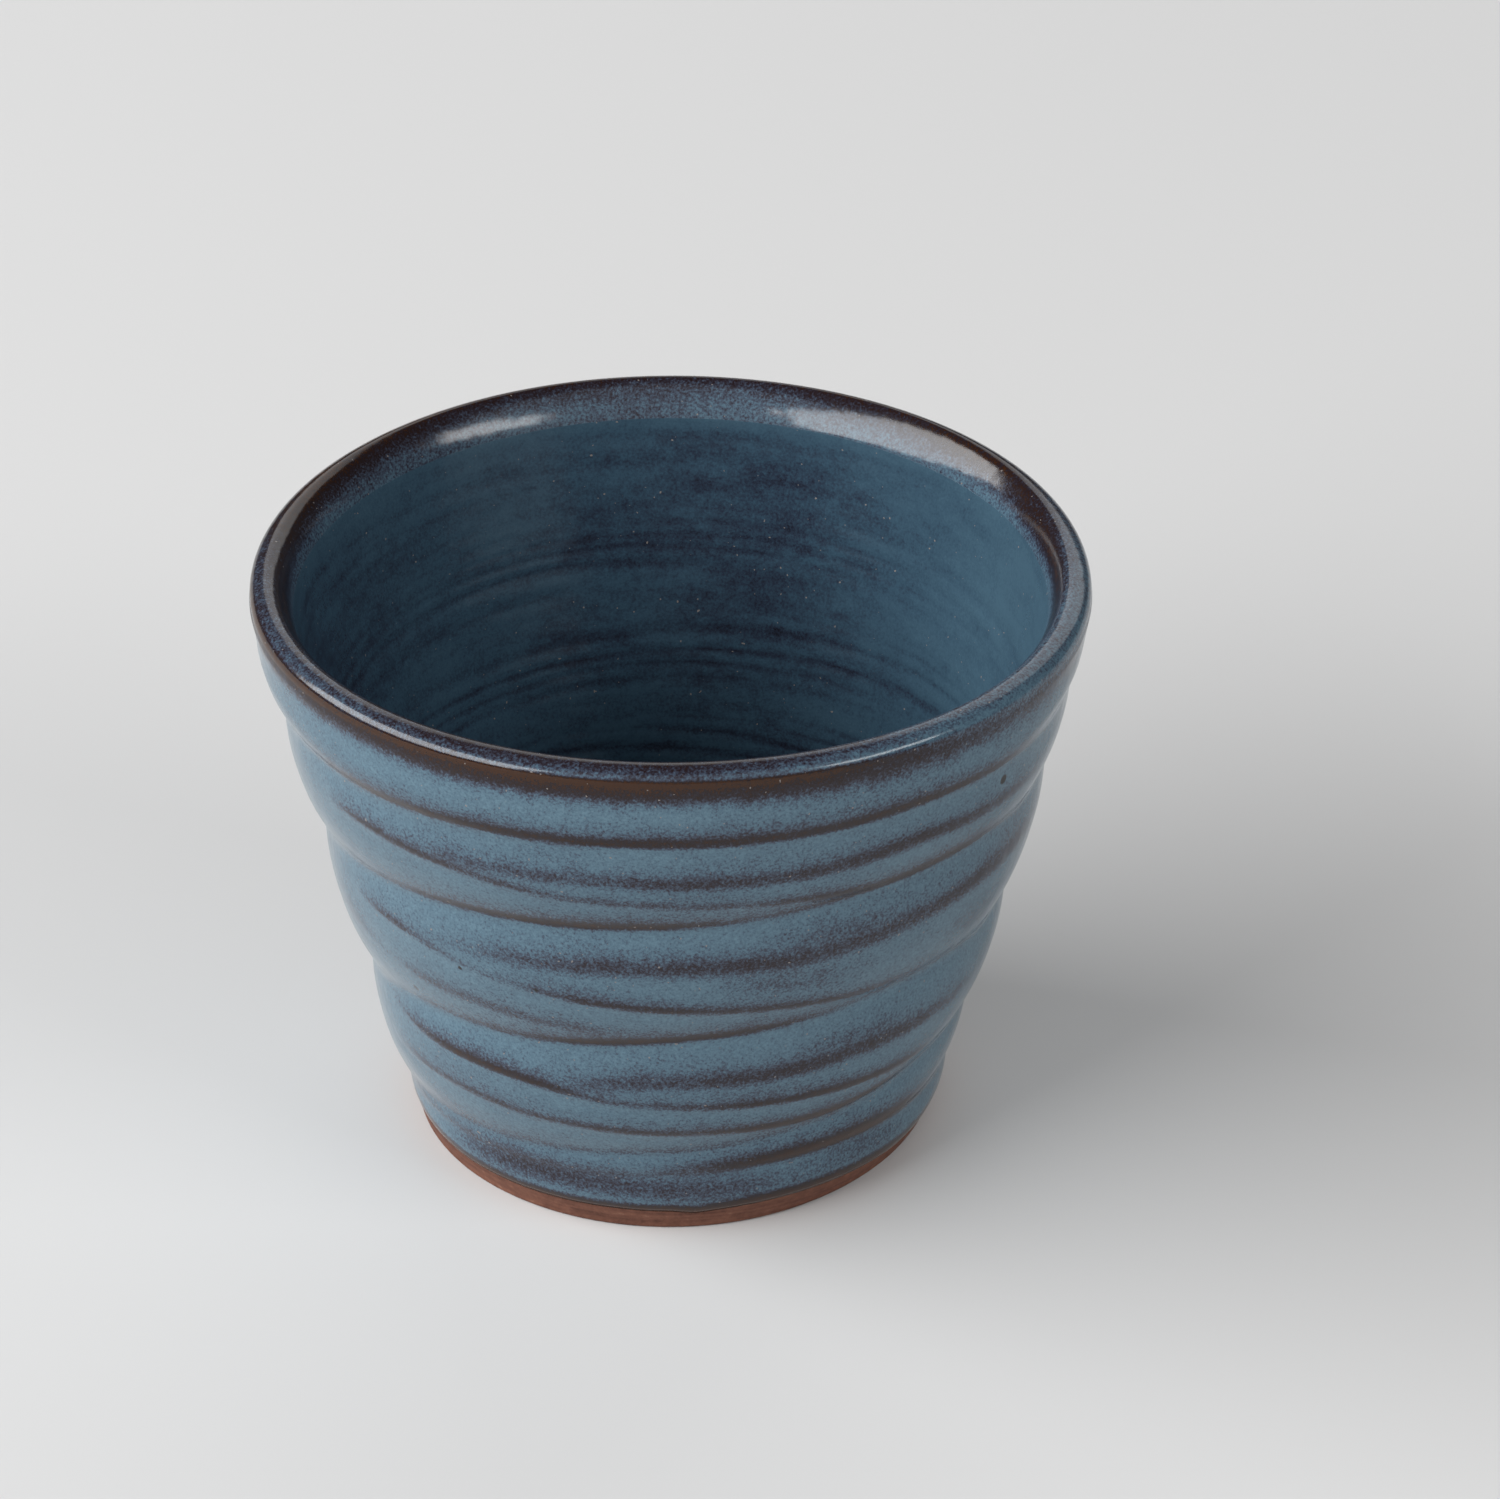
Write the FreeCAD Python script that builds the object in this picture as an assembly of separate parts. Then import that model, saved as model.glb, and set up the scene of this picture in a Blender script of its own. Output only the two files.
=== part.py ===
import FreeCAD, Part
import math
import os

# A wheel-thrown shaving mug without a handle: a clay body that stands on a
# bare foot, with a coat of glaze poured inside it and another dipped over its
# outside and its rim.
# Millimetres, +Z up. The origin is the middle of the foot, where it stands.

# Driving dimensions of the glazed mug
RIM_RADIUS = 50.0
HEIGHT = 73.6
LIP_THICKNESS = 4.6
FOOT_RADIUS = 31.6
FLOOR_THICKNESS = 7.0
FLOOR_FILLET = 15.0
INNER_FLOOR_RADIUS = 29.5
GLAZE_THICKNESS = 0.5
GLAZE_LINE = 4.1

# Throwing rings: the potter's fingers leave creases, and the wall swells between
CREASE_HEIGHTS = (11.0, 20.5, 37.0, 54.5, 65.3)
CREASE_DEPTH = 0.3
SWELL = 1.0
SWELL_SPAN = 17.5

# The bare foot
FOOT_EDGE_ROUND = 1.0
FOOT_RING_WIDTH = 4.5
RECESS_DEPTH = 1.2
RECESS_SLOPE = 2.0

# Worked out from the driving dimensions
LIP_ROUND = LIP_THICKNESS / 2.0
LIP_CENTRE = (RIM_RADIUS - LIP_ROUND, HEIGHT - LIP_ROUND)
OUTER_LEAN = math.atan2(RIM_RADIUS - FOOT_RADIUS, HEIGHT - LIP_ROUND)
INNER_LEAN = math.atan2(
    RIM_RADIUS - LIP_THICKNESS - INNER_FLOOR_RADIUS,
    HEIGHT - LIP_ROUND - FLOOR_THICKNESS,
)


def point(radius, height):
    """A point of the half section, in the XZ plane."""
    return FreeCAD.Vector(radius, 0.0, height)


def line(start, end):
    return Part.makeLine(start, end)


def arc(start, middle, end):
    return Part.Arc(start, middle, end).toShape()


def lip_point(angle, depth):
    """A point on the round lip, with angle turned up from straight outwards."""
    reach = LIP_ROUND - depth
    return point(
        LIP_CENTRE[0] + reach * math.cos(angle),
        LIP_CENTRE[1] + reach * math.sin(angle),
    )


def outer_point(height, swell, depth):
    """A point beside the outer wall's straight line.

    The line runs down from the lip at the wall's lean. The point stands out
    from it by swell and lies depth beneath the glaze, both square to the wall.
    """
    top = lip_point(-OUTER_LEAN, 0.0)
    along = (top.z - height) / math.cos(OUTER_LEAN)
    out = swell - depth
    return point(
        top.x - along * math.sin(OUTER_LEAN) + out * math.cos(OUTER_LEAN),
        top.z - along * math.cos(OUTER_LEAN) - out * math.sin(OUTER_LEAN),
    )


def outer_edges(depth):
    """The outer wall from the glaze line up to the lip, one arc to a ring."""
    top = lip_point(-OUTER_LEAN, depth)
    heights = (GLAZE_LINE,) + CREASE_HEIGHTS
    corners = [outer_point(GLAZE_LINE, 0.0, depth)]
    for height in CREASE_HEIGHTS:
        corners.append(outer_point(height, -CREASE_DEPTH, depth))
    edges = []
    for low, high, start, end in zip(heights, heights[1:], corners, corners[1:]):
        swell = SWELL * (high - low) / SWELL_SPAN
        middle = outer_point((low + high) / 2.0, swell, depth)
        edges.append(arc(start, middle, end))
    last_middle = outer_point((heights[-1] + top.z) / 2.0, 0.0, depth)
    edges.append(arc(corners[-1], last_middle, top))
    return edges


def lip_edges(depth):
    """The round lip, from the outer wall over the top to the inner wall."""
    inner_end = lip_point(math.pi - INNER_LEAN, depth)
    top = lip_point(math.pi / 2.0, depth)
    return [arc(lip_point(-OUTER_LEAN, depth), top, inner_end)]


def fillet_centre():
    """The centre of the round between the inner wall and the floor."""
    start = lip_point(math.pi - INNER_LEAN, 0.0)
    height = FLOOR_THICKNESS + FLOOR_FILLET
    rise = start.z + FLOOR_FILLET * math.sin(INNER_LEAN) - height
    along = rise / math.cos(INNER_LEAN)
    radius = start.x - FLOOR_FILLET * math.cos(INNER_LEAN) - along * math.sin(INNER_LEAN)
    return radius, height


def inner_edges(depth):
    """The inner wall, its round and the floor, down to the axis."""
    centre_radius, centre_height = fillet_centre()
    reach = FLOOR_FILLET + depth

    def fillet_point(angle):
        return point(
            centre_radius + reach * math.cos(angle),
            centre_height - reach * math.sin(angle),
        )

    wall_top = lip_point(math.pi - INNER_LEAN, depth)
    wall_foot = fillet_point(INNER_LEAN)
    middle = fillet_point((INNER_LEAN + math.pi / 2.0) / 2.0)
    floor_edge = fillet_point(math.pi / 2.0)
    return [
        line(wall_top, wall_foot),
        arc(wall_foot, middle, floor_edge),
        line(floor_edge, point(0.0, floor_edge.z)),
    ]


def foot_edges():
    """The bare underside, from the axis out to the glaze line."""
    wall_start = outer_point(GLAZE_LINE, 0.0, GLAZE_THICKNESS)
    wall_end = outer_point(FOOT_EDGE_ROUND, 0.0, GLAZE_THICKNESS)
    ring_outer = wall_end.x - FOOT_EDGE_ROUND
    ring_inner = ring_outer - FOOT_RING_WIDTH
    slant = FOOT_EDGE_ROUND * (1.0 - math.cos(math.pi / 4.0))
    return [
        line(point(0.0, RECESS_DEPTH), point(ring_inner - RECESS_SLOPE, RECESS_DEPTH)),
        line(point(ring_inner - RECESS_SLOPE, RECESS_DEPTH), point(ring_inner, 0.0)),
        line(point(ring_inner, 0.0), point(ring_outer, 0.0)),
        arc(point(ring_outer, 0.0), point(wall_end.x - slant, slant), wall_end),
        line(wall_end, wall_start),
    ]


def turned(edges):
    """A solid turned about the mug's axis from the edges of its half section."""
    face = Part.Face(Part.Wire(Part.__sortEdges__(edges)))
    solid = face.revolve(FreeCAD.Vector(), FreeCAD.Vector(0.0, 0.0, 1.0), 360.0)
    if solid.Volume < 0.0:
        solid.reverse()
    return solid


def clay_body():
    """The fired clay: foot, ringed wall, round lip and hollow inside."""
    floor = inner_edges(GLAZE_THICKNESS)
    floor_height = floor[-1].Vertexes[-1].Point.z
    axis = line(point(0.0, floor_height), point(0.0, RECESS_DEPTH))
    outside = foot_edges() + outer_edges(GLAZE_THICKNESS)
    return turned(outside + lip_edges(GLAZE_THICKNESS) + floor + [axis])


def outside_glaze():
    """The dipped coat, from the glaze line up over the lip."""
    foot_step = line(
        outer_point(GLAZE_LINE, 0.0, GLAZE_THICKNESS),
        outer_point(GLAZE_LINE, 0.0, 0.0),
    )
    join = line(
        lip_point(math.pi - INNER_LEAN, GLAZE_THICKNESS),
        lip_point(math.pi - INNER_LEAN, 0.0),
    )
    face = outer_edges(0.0) + lip_edges(0.0)
    back = outer_edges(GLAZE_THICKNESS) + lip_edges(GLAZE_THICKNESS)
    return turned(face + back + [foot_step, join])


def inside_glaze():
    """The poured coat, from the lip down the inner wall and over the floor."""
    join = line(
        lip_point(math.pi - INNER_LEAN, GLAZE_THICKNESS),
        lip_point(math.pi - INNER_LEAN, 0.0),
    )
    axis = line(
        point(0.0, FLOOR_THICKNESS - GLAZE_THICKNESS),
        point(0.0, FLOOR_THICKNESS),
    )
    return turned(inner_edges(0.0) + inner_edges(GLAZE_THICKNESS) + [join, axis])


def main():
    os.makedirs("parts", exist_ok=True)
    nodes = {
        "clay_body": clay_body(),
        "outside_glaze": outside_glaze(),
        "inside_glaze": inside_glaze(),
    }
    for name, solid in nodes.items():
        solid.exportStep("parts/" + name + ".step")
        box = solid.BoundBox
        print(name, solid.isValid(), round(solid.Volume), box)


main()
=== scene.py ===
import math
from collections import namedtuple

import bpy
import numpy as np
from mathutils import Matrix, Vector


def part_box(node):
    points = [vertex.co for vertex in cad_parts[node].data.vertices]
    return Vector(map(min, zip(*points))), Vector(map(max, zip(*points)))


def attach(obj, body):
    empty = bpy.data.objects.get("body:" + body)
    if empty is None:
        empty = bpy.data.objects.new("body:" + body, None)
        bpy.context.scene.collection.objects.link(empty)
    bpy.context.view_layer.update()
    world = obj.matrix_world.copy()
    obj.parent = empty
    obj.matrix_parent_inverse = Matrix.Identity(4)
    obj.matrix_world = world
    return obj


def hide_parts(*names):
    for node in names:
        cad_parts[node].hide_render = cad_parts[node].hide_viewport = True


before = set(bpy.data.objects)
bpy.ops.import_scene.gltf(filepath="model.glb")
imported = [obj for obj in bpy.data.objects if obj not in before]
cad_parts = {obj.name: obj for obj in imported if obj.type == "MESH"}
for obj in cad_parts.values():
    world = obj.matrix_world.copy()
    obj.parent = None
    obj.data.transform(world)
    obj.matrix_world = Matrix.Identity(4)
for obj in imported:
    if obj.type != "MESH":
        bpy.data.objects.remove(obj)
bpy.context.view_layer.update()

# A wheel-thrown shaving mug: red-brown clay, ringed by one long throwing spiral, with a blue
# glaze that turns purple and then brown wherever it has run thin.
# Lengths below are in millimetres unless a name ends in _M; a mesh is made in metres.
# Angles round the mug are in degrees from the front (-Y), growing towards +X.

MM = 0.001
_, glaze_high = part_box("outside_glaze")
liner_low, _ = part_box("inside_glaze")

# The pot, from the frame
RIM_RADIUS = glaze_high[0] / MM
HEIGHT = glaze_high[2] / MM
FLOOR_UNDER_GLAZE = liner_low[2] / MM

# The pot's own make; the band step is how far the bare band at the foot stands in from the glaze
GLAZE_THICKNESS = 0.5
BAND_STEP = 0.2
FOOT_RADIUS = 31.6
LIP_CENTRE_INSET = 2.24
LIP_CENTRE_DROP = 2.08
WALL_TOP_OUTSET = 2.13
WALL_TOP_DROP = 0.55
LIP_HALF_THICKNESS = 2.2
LIP_CAP = 2.0
LIP_CAP_INSIDE = 4.8
LIP_SQUARENESS = 2.5
LIP_SQUARENESS_INSIDE = 2.3
INNER_FLOOR_RADIUS = 29.5
FLOOR_FILLET = 15.0
FLOOR_TOP = FLOOR_UNDER_GLAZE + GLAZE_THICKNESS

# How much the lip's inner side is flattened, and the share of that by angle
BEVEL_FLATNESS = 0.95
BEVEL = (
    (-180, 1.0), (-145, 1.0), (-125, 0.7), (-95, 0.0), (95, 0.0), (122, 0.7), (140, 1.0),
    (180, 1.0),
)

Mark = namedtuple("Mark", "turn height thin above below lip winding")

# The crease that the potter's finger left as it climbed: angle, height, how thin the glaze is.
# The angle goes on growing by 360 with each turn.
SPIRAL = (
    (-760, -17.0, 0), (-560, -3.0, 0), (-430, 6.6, 0.2), (-352, 9.3, 0.35), (-338, 9.8, 0.75),
    (-322, 9.8, 0.85), (-300, 8.8, 0.55), (-200, 7.9, 0.35), (-110, 8.0, 0.4), (-76, 6.0, 0.05),
    (-67, 8.4, 0.1), (-47, 9.8, 0.2), (-30, 10.9, 0.3), (-10, 12.4, 0.35), (8, 13.4, 0.35),
    (23, 14.5, 0.25), (41, 15.6, 0.2), (52, 16.9, 0.2), (66, 17.7, 0.1), (120, 19.3, 0.7),
    (180, 20.9, 0.9), (240, 22.3, 0.6), (284, 23.3, 0.05), (295, 25.4, 0.1), (303, 27.2, 0.15),
    (310, 28.0, 0.3), (318, 28.7, 0.4), (335, 29.8, 0.6), (345, 30.8, 0.95), (360, 32.2, 1),
    (376, 33.1, 0.9), (386, 33.5, 0.35), (398, 34.5, 0.3), (412, 34.5, 0.3), (426, 33.0, 0.12),
    (480, 35.6, 0.6), (540, 38.9, 0.9), (600, 42.2, 0.5), (644, 43.1, 0.05), (654, 45.3, 0.1),
    (662, 46.3, 0.2), (669, 47.0, 0.35), (676, 47.8, 0.5), (684, 48.6, 0.7), (691, 49.2, 0.85),
    (700, 49.8, 1), (712, 50.6, 1), (722, 51.0, 0.85), (732, 51.5, 0.4), (742, 52.1, 0.45),
    (752, 52.7, 0.9), (768, 52.7, 0.8), (778, 52.2, 0.35), (786, 51.2, 0.12), (840, 53.0, 0.6),
    (900, 55.3, 0.9), (960, 57.6, 0.5), (1006, 59.3, 0.05), (1011, 60.7, 0.15), (1017, 61.6, 0.3),
    (1023, 62.0, 0.6), (1031, 62.2, 0.8), (1040, 62.7, 0.85), (1048, 63.2, 0.9), (1056, 63.7, 0.9),
    (1080, 64.3, 0.9), (1103, 64.2, 0.85), (1116, 64.4, 1), (1126, 64.0, 0.85), (1138, 63.4, 0.45),
    (1146, 63.3, 0.1), (1200, 64.0, 0.7), (1260, 66.2, 0.5), (1330, 70.0, 0.3), (1420, 76.0, 0),
    (1600, 92.0, 0),
)

# Sharp lesser marks, each with the turn of the crease that it goes with: angle, height, thinness
EDGES = {
    "foot_upper": (0, (
        (-66, 17.6, 0.0), (-55, 17.5, 0.45), (-44, 17.8, 0.5), (-30, 17.5, 0.5), (-15, 17.5, 0.65),
        (0, 17.2, 0.6), (8, 17.3, 0.6), (16, 16.8, 0.9), (30, 16.6, 1.0), (38, 16.9, 0.9),
        (45, 17.4, 0.7), (51, 17.8, 0.3), (57, 18.2, 0.0),
    )),
    "foot_second": (0, (
        (-62, 24.2, 0.0), (-51, 23.6, 0.6), (-42, 23.5, 0.8), (-34, 23.7, 0.9), (-25, 23.5, 0.8),
        (-20, 23.2, 0.6), (-10, 22.4, 0.4), (4, 22.1, 0.45), (14, 21.75, 0.75), (28, 21.2, 0.9),
        (41, 20.6, 0.85), (50, 20.2, 0.5), (60, 19.7, 0.0),
    )),
    "belly": (1, (
        (-60, 41.9, 0.0), (-54, 41.8, 0.5), (-45, 41.6, 0.6), (-40, 41.2, 0.35), (-34, 40.2, 0.2),
        (-22, 39.7, 0.3), (-12, 39.1, 0.7), (0, 38.5, 0.7), (10, 38.0, 0.6), (20, 37.4, 0.65),
        (31, 36.3, 0.5), (40, 35.8, 0.4), (48, 35.8, 0.2), (54, 35.7, 0.0),
    )),
    "shoulder": (2, (
        (-58, 56.9, 0.0), (-50, 57.0, 0.75), (-40, 56.8, 0.65), (-30, 56.5, 0.5), (-20, 55.85, 0.4),
        (0, 55.4, 0.35), (8, 55.1, 0.4), (18, 54.6, 0.5), (24, 54.1, 0.7), (30, 53.9, 0.5),
        (36, 53.8, 0.0),
    )),
}

# Soft marks, where the glaze is thin over a low swelling, each with the turn of the crease that
# it goes with and its width: angle, height, thinness
SOFT_MARKS = {
    "under_rim": (2, 1.1, (
        (-42, 57.6, 0.0), (-30, 58.4, 0.35), (-20, 58.8, 0.45), (-5, 59.2, 0.5), (4, 59.0, 0.6),
        (18, 58.8, 0.6), (28, 59.1, 0.6), (38, 59.5, 0.75), (45, 58.8, 0.65), (53, 58.4, 0.6),
        (60, 57.9, 0.4), (72, 57.3, 0.0),
    )),
    "middle": (1, 1.4, (
        (-42, 42.6, 0.0), (-30, 43.6, 0.3), (-20, 44.6, 0.45), (-10, 45.1, 0.5), (0, 45.4, 0.55),
        (8, 45.4, 0.6), (18, 45.3, 0.6), (30, 45.7, 0.5), (38, 46.1, 0.5), (48, 46.8, 0.6),
        (58, 47.0, 0.6), (70, 46.5, 0.4), (84, 46.0, 0.0),
    )),
    "middle_upper": (1, 1.6, ((10, 47.6, 0.0), (20, 48.0, 0.3), (32, 47.8, 0.3), (42, 47.2, 0.0))),
    "middle_lower": (1, 1.8, ((4, 42.5, 0.0), (14, 42.2, 0.3), (24, 41.5, 0.25), (34, 41.0, 0.0))),
    "right_patch": (1, 2.2, ((48, 40.0, 0.0), (57, 39.5, 0.35), (66, 39.0, 0.0))),
    "left_patch": (1, 1.2, ((-74, 36.8, 0.0), (-64, 36.0, 0.35), (-55, 35.0, 0.0))),
    "over_belly": (1, 1.0, (
        (-56, 35.0, 0.0), (-45, 34.6, 0.35), (-33, 34.6, 0.45), (-20, 34.3, 0.4), (-10, 34.2, 0.3),
        (0, 34.6, 0.0),
    )),
    "low": (0, 1.3, (
        (-24, 24.0, 0.0), (-14, 25.3, 0.3), (-5, 26.1, 0.4), (4, 26.4, 0.55), (14, 26.5, 0.65),
        (22, 26.6, 0.7), (31, 27.0, 0.6), (40, 26.9, 0.6), (50, 27.0, 0.5), (60, 27.0, 0.3),
        (75, 27.0, 0.0),
    )),
    "low_upper": (0, 1.4, ((16, 29.0, 0.0), (26, 29.4, 0.3), (38, 29.2, 0.25), (48, 29.0, 0.0))),
    "over_foot": (-1, 1.1, (
        (-6, 10.3, 0.0), (8, 10.6, 0.5), (20, 10.9, 0.85), (40, 10.8, 0.9), (54, 10.4, 0.75),
        (66, 9.8, 0.0),
    )),
    "at_foot": (-1, 2.0, (
        (-60, 6.2, 0.0), (-40, 6.6, 0.4), (-28, 7.2, 0.55), (-15, 7.2, 0.5), (0, 6.9, 0.45),
        (8, 6.8, 0.4), (20, 7.0, 0.3), (32, 7.2, 0.25), (45, 7.4, 0.3), (60, 6.4, 0.0),
    )),
}

# Where the glaze ends above the bare foot: angle, height
GLAZE_END = (
    (-180, 3.7), (-110, 4.3), (-70, 3.3), (-50, 2.9), (-30, 3.1), (-12, 3.3), (0, 3.3), (5, 2.9),
    (9, 3.2), (15, 3.5), (23, 3.7), (33, 3.8), (43, 3.7), (53, 3.4), (64, 3.4), (110, 4.2),
    (180, 3.7),
)


# ---------------------------------------------------------------- the marks that throwing left


def softened(values, width):
    """The values, each averaged with its neighbours under a bell curve width samples wide."""
    reach = int(3 * width)
    bell = np.exp(-0.5 * (np.arange(-reach, reach + 1) / width) ** 2)
    padded = np.pad(values, reach, mode="edge")
    return np.convolve(padded, bell / bell.sum(), mode="valid")


MARK_BLUR = 3.0


def mark(points, above, below, lip, winding=0, share=1.0):
    """A mark sampled every degree: straight between its points, then softened along its length."""
    turn, height, thin = (np.array(column, float) for column in zip(*points))
    degrees = np.arange(turn[0], turn[-1] + 1.0)
    heights = softened(np.interp(degrees, turn, height), MARK_BLUR)
    thins = share * softened(np.interp(degrees, turn, thin), MARK_BLUR)
    return Mark(degrees, heights, thins, above, below, lip, winding)


def twin(original, spiral):
    """The same mark half a turn on, lifted as far as the spiral climbs meanwhile."""
    here = original.turn + 360.0 * original.winding
    climb = np.interp(here + 180.0, spiral.turn, spiral.height)
    climb -= np.interp(here, spiral.turn, spiral.height)
    return original._replace(turn=original.turn + 180.0, height=original.height + climb)


# How far each kind of mark reaches above and below its line, how far it stands out of the wall,
# and its share of the thinness that its table gives
SPIRAL_MAKE = {"above": 0.70, "below": 0.50, "lip": 0.06, "share": 0.93}
EDGE_MAKE = {"above": 0.72, "below": 0.45, "lip": 0.16}
SOFT_MAKE = {"lip": 0.10, "share": 0.88}


def thrown_marks():
    """The spiral, and every lesser mark with its twin on the far side."""
    spiral = mark(SPIRAL, **SPIRAL_MAKE)
    lesser = [mark(points, winding=winding, **EDGE_MAKE) for winding, points in EDGES.values()]
    for winding, wide, points in SOFT_MARKS.values():
        lesser.append(mark(points, above=wide, below=wide, winding=winding, **SOFT_MAKE))
    return spiral, lesser + [twin(one, spiral) for one in lesser]


SPIRAL_MARK, LESSER_MARKS = thrown_marks()
WINDINGS = range(-2, 5)


def crease_heights(angle):
    """The height of every turn of the spiral at each angle, lowest first."""
    windings = np.array(WINDINGS)[:, None]
    turned = angle[None, :] + 360.0 * windings
    return np.interp(turned, SPIRAL_MARK.turn, SPIRAL_MARK.height)


LOBE_BULGE = 1.55
LOBE_SPAN = 16.0
LOBE_MOST = 1.6
LOBE_FULLNESS = 2.3
CREASE_FILL = 0.32


def lobes(angle, height):
    """The wall's swelling between two turns of the crease, in millimetres.

    Across a lobe the bulge is one minus the distance from its middle, as a share of its half
    height, to the power of the fullness. It is in proportion to the lobe's height up to a most.
    The crease is rounded as a hyperbola is: the root of the bulge squared plus the fill squared,
    less half the fill.
    """
    edges = crease_heights(angle)
    below = np.sum(edges[:, None, :] <= height[None, :, :], axis=0) - 1
    below = np.clip(below, 0, len(edges) - 2)
    low = np.take_along_axis(edges, below, axis=0)
    high = np.take_along_axis(edges, below + 1, axis=0)
    span = np.maximum(high - low, 1e-3)
    across = np.clip((height - low) / span, 0.0, 1.0)
    most = np.minimum(LOBE_BULGE * span / LOBE_SPAN, LOBE_MOST)
    bulge = most * (1.0 - np.abs(2.0 * across - 1.0) ** LOBE_FULLNESS)
    return np.sqrt(bulge ** 2 + CREASE_FILL ** 2) - 0.5 * CREASE_FILL


MARK_SQUARENESS = 2.5


def beside(distance, above, below):
    """One on the mark, falling away over the width above it and the width below it.

    It is a bell curve, but with the distance to the power of the squareness.
    """
    width = np.where(distance > 0.0, above, below)
    return np.exp(-(np.abs(distance / width) ** MARK_SQUARENESS))


def on_windings(one, angle):
    """A mark's height and thinness at each angle, once for each turn that it may be on."""
    first = math.floor((one.turn[0] + 180.0) / 360.0)
    last = math.floor((one.turn[-1] + 180.0) / 360.0)
    for winding in range(first, last + 1):
        turned = angle + 360.0 * winding
        inside = (turned >= one.turn[0]) & (turned <= one.turn[-1])
        height = np.interp(turned, one.turn, one.height)
        yield height, np.where(inside, np.interp(turned, one.turn, one.thin), 0.0)


CREST_ABOVE_CREASE = 0.6
HAZE = 1.6
HAZE_SHARE = 0.42
OVERLAP_SHARE = 0.35
STAND_ABOVE = 2.2
STAND_BELOW = 0.25
STAND_GAIN = 1.6


def marks_on(angle, height):
    """How thin the marks leave the glaze, from 0 to 1, and how far they stand out in millimetres.

    Each mark has a narrow core and a wider haze above it. Where two meet, the thinner glaze
    counts in full and the other for its overlap share.
    """
    thin = np.zeros(height.shape)
    relief = np.zeros(height.shape)
    for one in [SPIRAL_MARK] + LESSER_MARKS:
        rise = CREST_ABOVE_CREASE if one is SPIRAL_MARK else 0.0
        for mark_height, mark_thin in on_windings(one, angle):
            distance = height - mark_height[None, :] - rise
            core = beside(distance, one.above, one.below)
            haze = beside(distance, HAZE + one.above, one.below)
            here = mark_thin[None, :] * ((1.0 - HAZE_SHARE) * core + HAZE_SHARE * haze)
            thin = np.maximum(thin, here) + OVERLAP_SHARE * np.minimum(thin, here)
            stand = beside(distance, STAND_ABOVE + one.above, one.below + STAND_BELOW)
            relief += one.lip * np.minimum(mark_thin[None, :] * STAND_GAIN, 1.0) * stand
    return np.clip(thin, 0.0, 1.0), relief


# ---------------------------------------------------------------- the pot's form

LIP_CENTRE_HEIGHT = HEIGHT - LIP_CENTRE_DROP
LIP_CENTRE_RADIUS = RIM_RADIUS - LIP_CENTRE_INSET
LEAN = math.atan2(
    LIP_CENTRE_RADIUS + WALL_TOP_OUTSET - FOOT_RADIUS,
    LIP_CENTRE_HEIGHT - WALL_TOP_DROP,
)

# How far the creases stand from the straight cone, by height, and the pot's lean to one side
STANCE = (
    (0, 0.15), (4, -0.1), (10, -0.4), (17, -0.5), (30, -0.35), (55, -0.4), (61, -0.25), (66, 0.3),
    (70, 0.25), (74, 0.0),
)
SIDESTEP = ((0, 0.0), (6, 0.1), (20, 0.35), (50, 0.3), (66, 0.0), (74, 0.0))


def lip_section(turned, depth, bevel=0.0):
    """Radius and height of the lip at an angle turned from straight outwards, over the top.

    The section is a superellipse, half the lip thick and the cap high, leaning with the wall;
    its inner quarter is longer and rounder, and flatter still as the bevel goes from none to
    one. Depth shrinks it, to give the clay beneath the glaze.
    """
    inside = turned > math.pi / 2.0
    across = LIP_HALF_THICKNESS - depth
    up = np.where(inside, LIP_CAP_INSIDE, LIP_CAP) - depth
    power = 2.0 / np.where(inside, LIP_SQUARENESS_INSIDE - BEVEL_FLATNESS * bevel, LIP_SQUARENESS)
    over = across * np.sign(np.cos(turned)) * np.abs(np.cos(turned)) ** power
    rise = up * np.abs(np.sin(turned)) ** power + LIP_CAP - depth - up
    radius = LIP_CENTRE_RADIUS + over * math.cos(LEAN) + rise * math.sin(LEAN)
    height = LIP_CENTRE_HEIGHT - over * math.sin(LEAN) + rise * math.cos(LEAN)
    return radius, height


WALL_TOP_RADIUS, WALL_TOP_HEIGHT = lip_section(np.array(0.0), 0.0)
INNER_TOP_RADIUS, INNER_TOP_HEIGHT = lip_section(np.array(math.pi), 0.0)

# Heights over which the wall's relief dies out: all of it under the lip and above the table,
# and the lobes alone further down from the lip
LIP_SETTLE = 1.5
FOOT_SETTLE = 4.0
LOBE_SETTLE = 7.0


def wall_radius(angle, height):
    """The glazed outer wall's radius.

    It is a straight cone, plus the stance of the creases, plus the lobes and marks between
    them, which die out into the lip and above the bare foot as one minus a bell curve.
    """
    cone = WALL_TOP_RADIUS - (WALL_TOP_HEIGHT - height) * math.tan(LEAN)
    from_top = np.clip(WALL_TOP_HEIGHT - height, 0.0, None)
    settle = 1.0 - np.exp(-((from_top / LIP_SETTLE) ** 2))
    settle *= 1.0 - np.exp(-((np.clip(height, 0.0, None) / FOOT_SETTLE) ** 2))
    fullness = 1.0 - np.exp(-((from_top / LOBE_SETTLE) ** 2))
    relief = lobes(angle, height) * fullness + marks_on(angle, height)[1]
    return cone + np.interp(height, *np.array(STANCE).T) + relief * settle


def ripple(angle, amplitude, waves):
    """A slow waver round the pot, as hand throwing leaves: sines, each smaller as it is quicker."""
    total = np.zeros(angle.shape)
    for count, phase in waves:
        total += np.sin(np.radians(count * angle + phase)) / count
    return amplitude * total


# The pot's waver, each with its waves: how many go round, and where they start
RIM_WAVER = 0.10
RIM_WAVES = ((2, 40), (3, 100))
ROUND_WAVER = 0.12
ROUND_WAVES = ((2, 70), (3, 10), (5, 200))

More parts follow.
